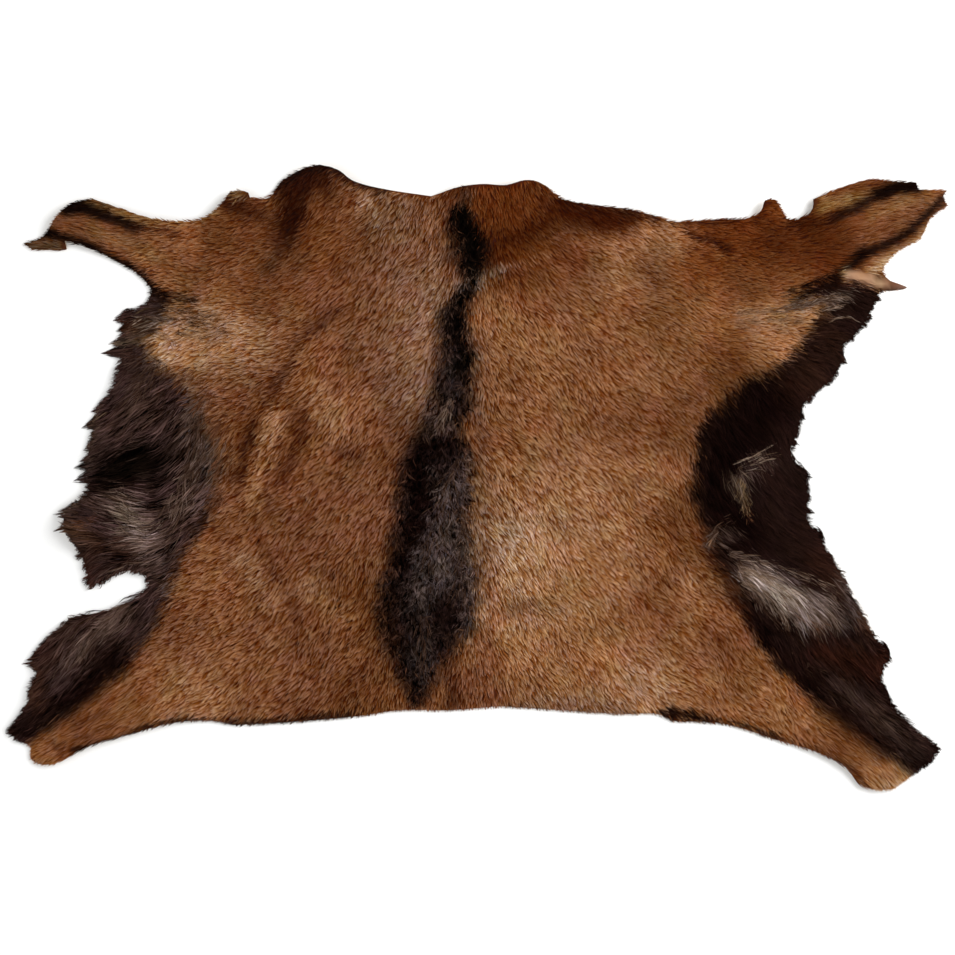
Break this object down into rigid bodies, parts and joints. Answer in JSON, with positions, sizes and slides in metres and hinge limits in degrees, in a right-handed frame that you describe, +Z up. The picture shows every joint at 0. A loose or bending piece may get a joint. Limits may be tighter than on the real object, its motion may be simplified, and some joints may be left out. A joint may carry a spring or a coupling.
{
  "type": "goatskin",
  "caption": "Whole goatskin with its hair on, laid flat hair side up, with splayed leg skins, long dark hair along the flanks and a darker mane down the spine.",
  "frame": {"origin": "centre of the bounding box, at floor level", "axes": "+X across the skin towards its right flank as seen in the picture, +Y from the rump to the neck edge, +Z up from the floor"},
  "size_m": [0.945, 0.6275, 0.0339],
  "materials": {
    "fur": "brown goat hair on tanned hide, darker along the spine and at the flanks"
  },
  "bodies": {
    "root": {"goatskin": "fur"}
  },
  "joints": []
}
